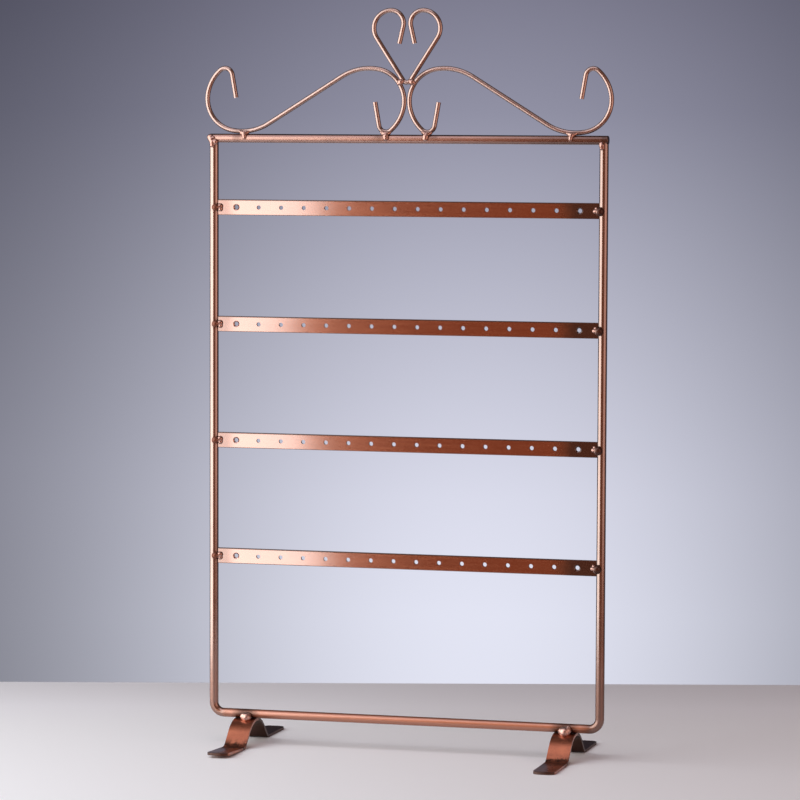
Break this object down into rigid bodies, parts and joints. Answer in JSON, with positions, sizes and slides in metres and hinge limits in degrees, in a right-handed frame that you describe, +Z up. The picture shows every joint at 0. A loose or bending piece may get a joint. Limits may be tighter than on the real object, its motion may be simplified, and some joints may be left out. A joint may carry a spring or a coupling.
{
  "type": "earring display stand",
  "caption": "Free-standing earring rack: an upright rod frame with drilled flat strips, a crest of wire scrolls with a heart, and bent-strip feet.",
  "frame": {"origin": "on the floor, midway between the feet, in the middle plane of the frame", "axes": "+Z up, +X along the strips to the right as seen from the front, and the front, with the countersunk holes, faces -Y"},
  "size_m": [0.2618, 0.124, 0.4632],
  "materials": {
    "rod": "satin antique copper plating, darkened in the recesses",
    "strip": "mirror-like satin antique copper plating",
    "wire": "satin antique copper plating, brighter than the frame",
    "foot": "mottled antique copper plating with heat marks",
    "weld_bead": "rough satin antique copper plating"
  },
  "bodies": {
    "root": {"frame_hoop": "rod", "top_rail": "rod", "strip_1": "strip", "strip_2": "strip", "strip_3": "strip", "strip_4": "strip", "scroll_left": "wire", "scroll_right": "wire", "heart": "wire", "foot_left": "foot", "foot_right": "foot", "corner_weld_left": "weld_bead", "corner_weld_right": "weld_bead", "strip_1_weld_left": "weld_bead", "strip_1_weld_right": "weld_bead", "strip_2_weld_left": "weld_bead", "strip_2_weld_right": "weld_bead", "strip_3_weld_left": "weld_bead", "strip_3_weld_right": "weld_bead", "strip_4_weld_left": "weld_bead", "strip_4_weld_right": "weld_bead", "scroll_left_outer_weld": "weld_bead", "scroll_left_inner_weld": "weld_bead", "scroll_right_outer_weld": "weld_bead", "scroll_right_inner_weld": "weld_bead", "heart_weld_left": "weld_bead", "heart_weld_right": "weld_bead", "foot_weld_left": "weld_bead", "foot_weld_right": "weld_bead"}
  },
  "joints": []
}
